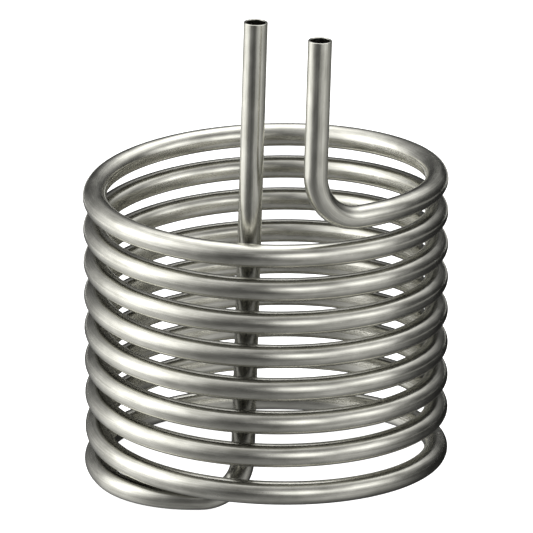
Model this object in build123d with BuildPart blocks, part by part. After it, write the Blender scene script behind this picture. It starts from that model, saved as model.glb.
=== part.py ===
from build123d import *
from math import ceil, cos, pi, radians, sin, tan
import os

# Immersion wort chiller: one length of stainless tube, bent into a left-handed coil with two
# legs that stand up for the hoses. It is made here in sections that meet face to face, each
# ending where the tube is bent differently or where one turn of the coil is complete.
# The order along the tube is short leg, short leg elbow, coil, foot bend, riser elbow, riser.
# The origin is on the coil's axis at the floor, +Z is up, and both legs stand on the -Y side.

# Driving dimensions, in millimetres and degrees
tube_diameter = 12.7
tube_wall = 1.2
coil_radius = 92.5  # from the axis to the tube's centreline
pitch = 18.62
foot_widening = 0.65  # growth of the radius where the coil reaches the floor
short_leg_top = 270.6  # height of the centre of each open end
riser_top = 272.9
leg_lean = 1.9  # of both legs from upright, towards +X
short_elbow_radius = 28.5
riser_elbow_radius = 23.0
foot_radius = 50.8
foot_turn = 67.5  # by which the foot bend leads the tube in under the front of the coil
foot_run = 3.3  # straight stretch between the foot bend and the riser elbow
edge_break = 0.4  # rounding of the rim at each open end

# Angles along the coil, in degrees from +X, growing counter-clockwise as the tube descends
coil_start = -57.7
back_joint = 95.0  # every turn begins and ends at the back, behind the riser
full_turns = 8
pitch_changes = (  # each a ramp between two angles and the pitch beyond it
    ((2682.0, 2698.0), 46.0),  # the last turn drops at the left
    ((2710.0, 2726.0), 20.0),
    ((2770.0, 2800.0), 27.8),
    ((2930.0, 2975.0), 0.0),  # the tube lies on the floor
)
widening = (2880.0, 2970.0, 3060.0)  # start, middle and end of the growth of the radius
coil_end = 3082.5
largest_arc = 45.0  # one arc of the centreline spans no more than this
uneven_from = 2660.0  # beyond this the pitch and the radius change
largest_uneven_arc = 9.0  # one arc spans no more than this there

# Derived dimensions
tube_radius = tube_diameter / 2
bore_radius = tube_radius - tube_wall
wall_area = pi * (tube_radius**2 - bore_radius**2)
leg_direction = Vector(sin(radians(leg_lean)), 0, cos(radians(leg_lean)))


def eased_beyond(angle, ramp):
    """Angle travelled beyond the middle of a ramp, growing as a parabola within it."""
    start, end = ramp
    within = min(max(angle - start, 0), end - start)
    return within**2 / (2 * (end - start)) + max(angle - end, 0)


def fall(angle):
    """How far the centreline has dropped since angle zero."""
    drop = pitch * angle
    pitch_before = pitch
    for ramp, pitch_beyond in pitch_changes:
        drop += (pitch_beyond - pitch_before) * eased_beyond(angle, ramp)
        pitch_before = pitch_beyond
    return drop / 360


def radius_at(angle):
    """Radius of the coil, which grows over the last half turn."""
    start, middle, end = widening
    grown = eased_beyond(angle, (start, middle)) - eased_beyond(angle, (middle, end))
    return coil_radius + foot_widening * grown / (middle - start)


def coil_point(angle):
    """Point on the centreline of the coil, whose end lies on the floor."""
    height = tube_radius + fall(coil_end) - fall(angle)
    radius = radius_at(angle)
    turned = radians(angle)
    return Vector(radius * cos(turned), radius * sin(turned), height)


def coil_line(start, end):
    """Centreline of a stretch of the coil, as arcs that are shorter where the coil is uneven."""
    parting = min(max(start, uneven_from), end)
    even_stretch = (start, parting, largest_arc)
    uneven_stretch = (parting, end, largest_uneven_arc)
    with BuildLine() as line:
        for first, last, largest in (even_stretch, uneven_stretch):
            arcs = ceil((last - first) / largest)
            for number in range(arcs):
                step = (last - first) / arcs
                arc_start = first + number * step
                ThreePointArc(*(coil_point(arc_start + part * step) for part in (0, 0.5, 1)))
    return line.wire()


def bend_line(start, direction, next_direction, radius, run=0):
    """Arc that turns the tube from one direction to the next, and a straight run beyond it."""
    half_turn = radians(direction.get_angle(next_direction) / 2)
    corner_distance = radius * tan(half_turn)
    end = start + (direction + next_direction) * corner_distance
    with BuildLine() as line:
        TangentArc(start, end, tangent=direction)
        if run:
            Line(end, end + next_direction * run)
    return line.wire()


def leg_line(start, top):
    """Straight centreline of a leg, up to the height of its open end."""
    with BuildLine() as line:
        Line(start, start + leg_direction * ((top - start.Z) / leg_direction.Z))
    return line.wire()


def tube_section(label, line, open_end=False):
    """Hollow tube along a line, written as one node."""
    with BuildPart() as section:
        with BuildSketch(Plane(line @ 0, z_dir=line % 0)):
            Circle(tube_radius)
            Circle(bore_radius, mode=Mode.SUBTRACT)
        sweep(path=line)
        if open_end:
            rim = section.faces().sort_by(Axis.Z)[-1]
            fillet(rim.edges(), edge_break)
    section.part.label = label
    export_step(section.part, f"parts/{label}.step")
    volume_ratio = section.part.volume / (wall_area * line.length)
    print(f"{label}: length {line.length:.1f}, volume / (section x length) {volume_ratio:.5f}")
    return section


os.makedirs("parts", exist_ok=True)

# Coil, parted at the back of each turn
first_joint = back_joint
last_joint = back_joint + 360 * full_turns
top_turn_line = coil_line(coil_start, first_joint)
top_turn = tube_section("coil_top_turn", top_turn_line)

for number in range(full_turns):
    turn_start = first_joint + 360 * number
    turn_line = coil_line(turn_start, turn_start + 360)
    turn = tube_section(f"coil_turn_{number + 1}", turn_line)

bottom_turn_line = coil_line(last_joint, coil_end)
bottom_turn = tube_section("coil_bottom_turn", bottom_turn_line)

# Short leg, which rises from the start of the coil
short_elbow_line = bend_line(
    top_turn_line @ 0, -(top_turn_line % 0), leg_direction, short_elbow_radius
)
short_elbow = tube_section("short_leg_elbow", short_elbow_line)

short_leg_line = leg_line(short_elbow_line @ 1, short_leg_top)
short_leg = tube_section("short_leg", short_leg_line, open_end=True)

# Foot bend and riser, which rises inside the coil from its end
coil_end_direction = bottom_turn_line % 1
foot_direction = coil_end_direction.rotate(Axis.Z, foot_turn)
foot_bend_line = bend_line(
    bottom_turn_line @ 1, coil_end_direction, foot_direction, foot_radius, run=foot_run
)
foot_bend = tube_section("foot_bend", foot_bend_line)

riser_elbow_line = bend_line(
    foot_bend_line @ 1, foot_direction, leg_direction, riser_elbow_radius
)
riser_elbow = tube_section("riser_elbow", riser_elbow_line)

riser_line = leg_line(riser_elbow_line @ 1, riser_top)
riser = tube_section("riser", riser_line, open_end=True)
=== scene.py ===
from math import ceil, cos, radians, sin

import bpy
from mathutils import Matrix, Quaternion, Vector, kdtree


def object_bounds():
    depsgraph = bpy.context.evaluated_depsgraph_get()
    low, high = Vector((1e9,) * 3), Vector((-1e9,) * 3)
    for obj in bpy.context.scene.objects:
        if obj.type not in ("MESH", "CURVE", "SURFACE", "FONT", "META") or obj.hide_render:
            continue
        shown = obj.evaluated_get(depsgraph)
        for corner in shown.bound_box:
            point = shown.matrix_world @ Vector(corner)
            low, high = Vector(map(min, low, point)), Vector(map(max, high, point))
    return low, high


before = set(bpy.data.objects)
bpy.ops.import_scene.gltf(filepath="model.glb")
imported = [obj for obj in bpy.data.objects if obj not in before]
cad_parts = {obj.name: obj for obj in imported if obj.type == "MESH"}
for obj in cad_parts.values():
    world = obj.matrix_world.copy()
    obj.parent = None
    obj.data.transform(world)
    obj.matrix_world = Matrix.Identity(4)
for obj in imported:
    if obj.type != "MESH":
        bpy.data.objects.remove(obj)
cad_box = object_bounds()
scene = bpy.context.scene

MM = 0.001

# ---------------------------------------------------------------------------
# The tube's centreline, as the CAD bends it. Lengths are in metres and angles along the coil in
# degrees. Only the finish uses it: it gives every point of the surface its place on the straight
# tube that the coil is bent from, and the normal of the ideal tube.

TUBE_RADIUS = 6.35 * MM
BORE_RADIUS = 5.15 * MM
RIM_LENGTH = 0.41 * MM  # just more than the 0.4 mm rounding at each open end
COIL_RADIUS = 92.5 * MM
PITCH = 18.62 * MM
PITCH_CHANGES = (  # each a ramp between two angles and the pitch beyond it
    ((2682.0, 2698.0), 46.0 * MM),
    ((2710.0, 2726.0), 20.0 * MM),
    ((2770.0, 2800.0), 27.8 * MM),
    ((2930.0, 2975.0), 0.0),
)
FOOT_WIDENING = 0.65 * MM
WIDENING = (2880.0, 2970.0, 3060.0)  # start, middle and end of the growth of the radius
COIL_START = -57.7
COIL_END = 3082.5
LEG_LEAN = radians(1.9)
LEG_DIRECTION = Vector((sin(LEG_LEAN), 0, cos(LEG_LEAN)))
SHORT_LEG_TOP = 270.6 * MM
RISER_TOP = 272.9 * MM
SHORT_ELBOW_RADIUS = 28.5 * MM
RISER_ELBOW_RADIUS = 23.0 * MM
FOOT_RADIUS = 50.8 * MM
FOOT_TURN = radians(67.5)
FOOT_RUN = 3.3 * MM
SAMPLE_STEP = 2.0 * MM  # between points of the centreline
SMALL_ANGLE = 0.05


def eased_beyond(angle, ramp):
    """Angle travelled beyond the middle of a ramp, growing as a parabola within it."""
    start, end = ramp
    within = min(max(angle - start, 0), end - start)
    return within**2 / (2 * (end - start)) + max(angle - end, 0)


def fall(angle):
    """How far the centreline has dropped since angle zero."""
    drop = PITCH * angle
    pitch_before = PITCH
    for ramp, pitch_beyond in PITCH_CHANGES:
        drop += (pitch_beyond - pitch_before) * eased_beyond(angle, ramp)
        pitch_before = pitch_beyond
    return drop / 360


def radius_at(angle):
    start, middle, end = WIDENING
    grown = eased_beyond(angle, (start, middle)) - eased_beyond(angle, (middle, end))
    return COIL_RADIUS + FOOT_WIDENING * grown / (middle - start)


def coil_point(angle):
    turned = radians(angle)
    height = TUBE_RADIUS + fall(COIL_END) - fall(angle)
    radius = radius_at(angle)
    return Vector((radius * cos(turned), radius * sin(turned), height))


def coil_direction(angle):
    return (coil_point(angle + SMALL_ANGLE) - coil_point(angle - SMALL_ANGLE)).normalized()


def coil_points():
    span = COIL_END - COIL_START
    count = ceil(radians(span) * COIL_RADIUS / SAMPLE_STEP)
    return [coil_point(COIL_START + span * k / count) for k in range(count + 1)]


def bend_points(start, direction, next_direction, radius):
    axis = direction.cross(next_direction).normalized()
    centre = start + axis.cross(direction) * radius
    turn = direction.angle(next_direction)
    count = ceil(turn * radius / SAMPLE_STEP)
    arm = start - centre
    return [centre + Quaternion(axis, turn * k / count) @ arm for k in range(1, count + 1)]


def straight_points(start, direction, length):
    count = ceil(length / SAMPLE_STEP)
    return [start + direction * (length * k / count) for k in range(1, count + 1)]


def leg_points(start, top):
    return straight_points(start, LEG_DIRECTION, (top - start.z) / LEG_DIRECTION.z)


def tube_points():
    """Centreline of the whole tube, from the short leg's open end to the riser's."""
    coil = coil_points()
    short = bend_points(coil[0], -coil_direction(COIL_START), LEG_DIRECTION, SHORT_ELBOW_RADIUS)
    short += leg_points(short[-1], SHORT_LEG_TOP)
    end_direction = coil_direction(COIL_END)
    end_direction = Vector((end_direction.x, end_direction.y, 0)).normalized()
    foot_direction = Matrix.Rotation(FOOT_TURN, 3, "Z") @ end_direction
    foot = bend_points(coil[-1], end_direction, foot_direction, FOOT_RADIUS)
    foot += straight_points(foot[-1], foot_direction, FOOT_RUN)
    foot += bend_points(foot[-1], foot_direction, LEG_DIRECTION, RISER_ELBOW_RADIUS)
    foot += leg_points(foot[-1], RISER_TOP)
    return short[::-1] + coil + foot


class StraightTube:
    """Turns a point near the bent tube into (across, across, along) on the straight one."""

    def __init__(self, points):
        self.points = points
        self.along = [0.0]
        self.directions = []
        self.sides = []
        last = len(points) - 1
        for k in range(last):
            self.along.append(self.along[-1] + (points[k + 1] - points[k]).length)
        side = Vector((0, 1, 0))
        for k in range(last + 1):
            direction = (points[min(k + 1, last)] - points[max(k - 1, 0)]).normalized()
            side = (side - direction * side.dot(direction)).normalized()
            self.directions.append(direction)
            self.sides.append(side)
        self.tree = kdtree.KDTree(len(points))
        for k, point in enumerate(points):
            self.tree.insert(point, k)
        self.tree.balance()

    def place(self, point):
        _, k, _ = self.tree.find(point)
        offset = point - self.points[k]
        direction, side = self.directions[k], self.sides[k]
        other_side = direction.cross(side)
        return (offset.dot(side), offset.dot(other_side), self.along[k] + offset.dot(direction))

    def normal(self, vertex):
        """Normal of the ideal tube, which runs on over the seams between the CAD's faces."""
        _, k, _ = self.tree.find(vertex.co)
        direction = self.directions[k]
        travel = (vertex.co - self.points[k]).dot(direction)
        if not RIM_LENGTH < self.along[k] + travel < self.along[-1] - RIM_LENGTH:
            return vertex.normal
        before, after = max(k - 1, 0), min(k + 1, len(self.points) - 1)
        turned = self.directions[after] - self.directions[before]
        bend = turned / (self.along[after] - self.along[before])
        centre = self.points[k] + direction * travel + bend * (travel**2 / 2)
        local_direction = (direction + bend * travel).normalized()
        offset = vertex.co - centre
        outward = offset - local_direction * offset.dot(local_direction)
        in_bore = outward.length < (TUBE_RADIUS + BORE_RADIUS) / 2
        return -outward.normalized() if in_bore else outward.normalized()


def add_attribute(mesh, name, vectors):
    attribute = mesh.attributes.new(name, "FLOAT_VECTOR", "POINT")
    attribute.data.foreach_set("vector", [value for vector in vectors for value in vector])


straight_tube = StraightTube(tube_points())
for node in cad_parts.values():
    mesh = node.data
    add_attribute(mesh, "straight_tube", [straight_tube.place(v.co) for v in mesh.vertices])
    add_attribute(mesh, "tube_normal", [straight_tube.normal(v) for v in mesh.vertices])


# ---------------------------------------------------------------------------
# Finish: drawn stainless tube

# Scale of each noise across, across and along the straight tube
FINE_LINES = (1400, 1400, 25)
BROAD_LINES = (420, 420, 14)
MOTTLE = (170, 170, 60)
DENTS = (110, 110, 45)
NOISE_LOW, NOISE_HIGH = 0.3, 0.7  # values of a noise that give the least and the most change

DARK_METAL = (0.50, 0.493, 0.44, 1)
PALE_METAL = (0.78, 0.77, 0.70, 1)
MOTTLE_SHADE = 0.08
FINE_LINE_SHADE = 0.05
SHADING_DISTANCE = 0.07
SHADED, OPEN = 0.2, 0.75  # openness that gives the darkest and the full colour
SHADED_COLOUR = 0.28  # factor of the darkest colour
ROUGHNESS = 0.22
ROUGHNESS_CHANGE = 0.03
FINE_LINE_HEIGHT = 0.004 * MM
BROAD_LINE_HEIGHT = 0.04 * MM
DENT_HEIGHT = 0.22 * MM


class Nodes:
    """Shorthand for adding nodes to a material or world, and joining them."""

    def __init__(self, owner):
        owner.use_nodes = True
        self.tree = owner.node_tree
        self.tree.nodes.clear()

    def add(self, kind, inputs=None, **settings):
        node = self.tree.nodes.new(kind)
        for name, value in settings.items():
            setattr(node, name, value)
        for name, value in (inputs or {}).items():
            if isinstance(value, bpy.types.NodeSocket):
                self.tree.links.new(value, node.inputs[name])
            else:
                node.inputs[name].default_value = value
        return node

    def noise(self, vector, detail, roughness):
        inputs = {"Vector": vector, "Scale": 1.0, "Detail": detail, "Roughness": roughness}
        return self.add("ShaderNodeTexNoise", inputs).outputs["Fac"]

    def stretched(self, vector, scale):
        inputs = {0: vector, 1: scale}
        return self.add("ShaderNodeVectorMath", inputs, operation="MULTIPLY").outputs[0]

    def spread(self, value, low, high, to_low, to_high):
        inputs = {"Value": value, "From Min": low, "From Max": high}
        inputs.update({"To Min": to_low, "To Max": to_high})
        return self.add("ShaderNodeMapRange", inputs).outputs["Result"]

    def variation(self, noise, amount):
        return self.spread(noise, NOISE_LOW, NOISE_HIGH, -amount, amount)

    def math(self, operation, first, second):
        return self.add("ShaderNodeMath", {0: first, 1: second}, operation=operation).outputs[0]


def drawn_stainless():
    material = bpy.data.materials.new("drawn_stainless")
    n = Nodes(material)
    place = n.add("ShaderNodeAttribute", attribute_name="straight_tube").outputs["Vector"]
    normal = n.add("ShaderNodeAttribute", attribute_name="tube_normal").outputs["Vector"]

    fine_lines = n.noise(n.stretched(place, FINE_LINES), detail=3.0, roughness=0.6)
    broad_lines = n.noise(n.stretched(place, BROAD_LINES), detail=2.0, roughness=0.5)
    mottle = n.noise(n.stretched(place, MOTTLE), detail=3.0, roughness=0.55)
    dents = n.noise(n.stretched(place, DENTS), detail=1.0, roughness=0.4)

    shade = n.math("ADD", n.variation(mottle, MOTTLE_SHADE), n.variation(fine_lines, FINE_LINE_SHADE))
    shade = n.math("ADD", shade, 0.5)
    ramp = n.add("ShaderNodeValToRGB", {"Fac": shade})
    dark, pale = ramp.color_ramp.elements
    dark.position = 0.4
    dark.color = DARK_METAL
    pale.position = 0.6
    pale.color = PALE_METAL

    # Darker where the turns shade one another
    shading_inputs = {"Distance": SHADING_DISTANCE, "Normal": normal}
    openness = n.add("ShaderNodeAmbientOcclusion", shading_inputs, samples=8).outputs["AO"]
    shading = n.spread(openness, SHADED, OPEN, SHADED_COLOUR, 1.0)
    colour_inputs = {0: ramp.outputs["Color"], "Scale": shading}
    colour = n.add("ShaderNodeVectorMath", colour_inputs, operation="SCALE").outputs["Vector"]

    mottled_roughness = n.variation(mottle, ROUGHNESS_CHANGE)
    lined_roughness = n.variation(broad_lines, ROUGHNESS_CHANGE)
    roughness = n.math("ADD", mottled_roughness, lined_roughness)
    roughness = n.math("ADD", roughness, ROUGHNESS)

    fine_height = n.math("MULTIPLY", fine_lines, FINE_LINE_HEIGHT)
    height = n.math("ADD", fine_height, n.math("MULTIPLY", dents, DENT_HEIGHT))
    height = n.math("ADD", height, n.math("MULTIPLY", broad_lines, BROAD_LINE_HEIGHT))
    bump_inputs = {"Height": height, "Strength": 1.0, "Distance": 1.0, "Normal": normal}
    bump = n.add("ShaderNodeBump", bump_inputs)

    shader_inputs = {"Base Color": colour, "Roughness": roughness, "Metallic": 1.0}
    shader_inputs["Normal"] = bump.outputs["Normal"]
    shader = n.add("ShaderNodeBsdfPrincipled", shader_inputs)
    n.add("ShaderNodeOutputMaterial", {"Surface": shader.outputs["BSDF"]})
    return material


finish = drawn_stainless()
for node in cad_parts.values():
    for slot in node.material_slots:
        slot.material = finish


# ---------------------------------------------------------------------------
# Studio: pale floor and soft light

FLOOR_SIZE = 24
FLOOR_GAP = 0.2 * MM  # below the object
GLOW_GAP = 0.1 * MM


def pale_floor():
    material = bpy.data.materials.new("pale_floor")
    n = Nodes(material)
    diffuse = n.add("ShaderNodeBsdfDiffuse", {"Color": (0.85, 0.85, 0.85, 1)})
    glow = n.add("ShaderNodeEmission", {"Color": (1, 1, 1, 1), "Strength": 0.9})
    both = n.add("ShaderNodeAddShader", {0: diffuse.outputs[0], 1: glow.outputs[0]})
    n.add("ShaderNodeOutputMaterial", {"Surface": both.outputs[0]})
    return material


bpy.ops.mesh.primitive_plane_add(size=FLOOR_SIZE, location=(0, 0, cad_box[0].z - FLOOR_GAP))
floor = bpy.context.object
floor.name = "floor"
floor.data.materials.append(pale_floor())
floor.visible_glossy = False
floor.visible_shadow = False


def clear_glow(name, strength):
    material = bpy.data.materials.new(name)
    n = Nodes(material)
    clear = n.add("ShaderNodeBsdfTransparent")
    glow = n.add("ShaderNodeEmission", {"Color": (1, 1, 0.97, 1), "Strength": strength})
    both = n.add("ShaderNodeAddShader", {0: clear.outputs[0], 1: glow.outputs[0]})
    n.add("ShaderNodeOutputMaterial", {"Surface": both.outputs[0]})
    return material


def table_glow(name, low, high, strength):
    """Part of the lit table further out, which only reflections show. Low and high are x, y."""
    (left, near), (right, far) = low, high
    corners = [(left, near, 0), (right, near, 0), (right, far, 0), (left, far, 0)]
    mesh = bpy.data.meshes.new(name)
    mesh.from_pydata(corners, [], [(0, 1, 2, 3)])
    mesh.materials.append(clear_glow(name, strength))
    card = bpy.data.objects.new(name, mesh)
    card.location.z = cad_box[0].z - GLOW_GAP
    scene.collection.objects.link(card)
    card.visible_camera = False
    card.visible_diffuse = False
    card.visible_shadow = False


table_glow("table_behind", (-0.5, 0.55), (0.5, 2.0), 0.6)
table_glow("table_left", (-1.6, -0.55), (-0.5, 0.5), 0.35)
table_glow("table_right", (0.5, -0.7), (1.4, 0.5), 0.2)
table_glow("table_front", (0.12, -1.4), (0.9, -0.5), 0.22)

# Azimuth, elevation, sharpness and strength of each light. Azimuth 0 is towards the camera and
# 90 to its right. Sharpness 3 is a very wide glow and 20 a narrow one.
LIGHTS = [
    (-85, 25, 6, 2.4),  # on the left
    (25, 20, 20, 1.9),  # beside the camera
    (70, 22, 20, 1.8),  # on the right
    (135, 50, 12, 1.4),  # behind on the right
    (180, 65, 12, 2.0),  # high behind
    (0, 90, 6, 0.6),  # overhead
    (-110, -30, 6, 0.8),  # from below on the left
    (60, -30, 6, 0.5),  # from below on the right
    (0, -60, 3, 0.2),  # from below in front
]


def direction_of(azimuth, elevation):
    a, e = radians(azimuth), radians(elevation)
    return Vector((sin(a) * cos(e), -cos(a) * cos(e), sin(e)))


def soft_light(lights):
    """World lit by a soft round glow in the direction of each light."""
    world = bpy.data.worlds.new("studio")
    scene.world = world
    n = Nodes(world)
    towards = n.add("ShaderNodeTexCoord").outputs["Generated"]
    total = None
    for azimuth, elevation, sharpness, strength in lights:
        aim = direction_of(azimuth, elevation)
        dot = n.add("ShaderNodeVectorMath", {0: towards, 1: aim}, operation="DOT_PRODUCT")
        facing = dot.outputs["Value"]
        falloff = n.math("MULTIPLY", n.math("SUBTRACT", facing, 1.0), sharpness)
        light = n.math("MULTIPLY", n.math("EXPONENT", falloff, 0.0), strength)
        total = light if total is None else n.math("ADD", total, light)
    background = n.add("ShaderNodeBackground", {"Color": total, "Strength": 1.0})
    n.add("ShaderNodeOutputWorld", {"Surface": background.outputs[0]})


soft_light(LIGHTS)

# ---------------------------------------------------------------------------
# Camera

ELEVATION = radians(18.7945)
ROLL = radians(0.2317)
DISTANCE = 3.584
TARGET = Vector((0, 0, 95.948 * MM))
VIEW_WIDTH = 289.435 * MM  # across the picture, at the target's distance
AIM_RIGHT = 0.266 * MM
AIM_UP = 18.19 * MM
SENSOR_WIDTH = 36

backward = Vector((0, -cos(ELEVATION), sin(ELEVATION)))
level_up = Vector((0, sin(ELEVATION), cos(ELEVATION)))
right = cos(ROLL) * Vector((1, 0, 0)) - sin(ROLL) * level_up
up = sin(ROLL) * Vector((1, 0, 0)) + cos(ROLL) * level_up
location = TARGET + backward * DISTANCE
aim = TARGET + right * AIM_RIGHT + up * AIM_UP
backward = (location - aim).normalized()
right = up.cross(backward).normalized()
up = backward.cross(right)

camera_data = bpy.data.cameras.new("camera")
camera = bpy.data.objects.new("camera", camera_data)
scene.collection.objects.link(camera)
camera_data.sensor_width = SENSOR_WIDTH
camera_data.lens = SENSOR_WIDTH * DISTANCE / VIEW_WIDTH
camera_data.clip_start = 0.1
camera_data.clip_end = 50
camera.matrix_world = Matrix((right, up, backward)).transposed().to_4x4()
camera.location = location
scene.camera = camera

scene.view_settings.view_transform = "Standard"
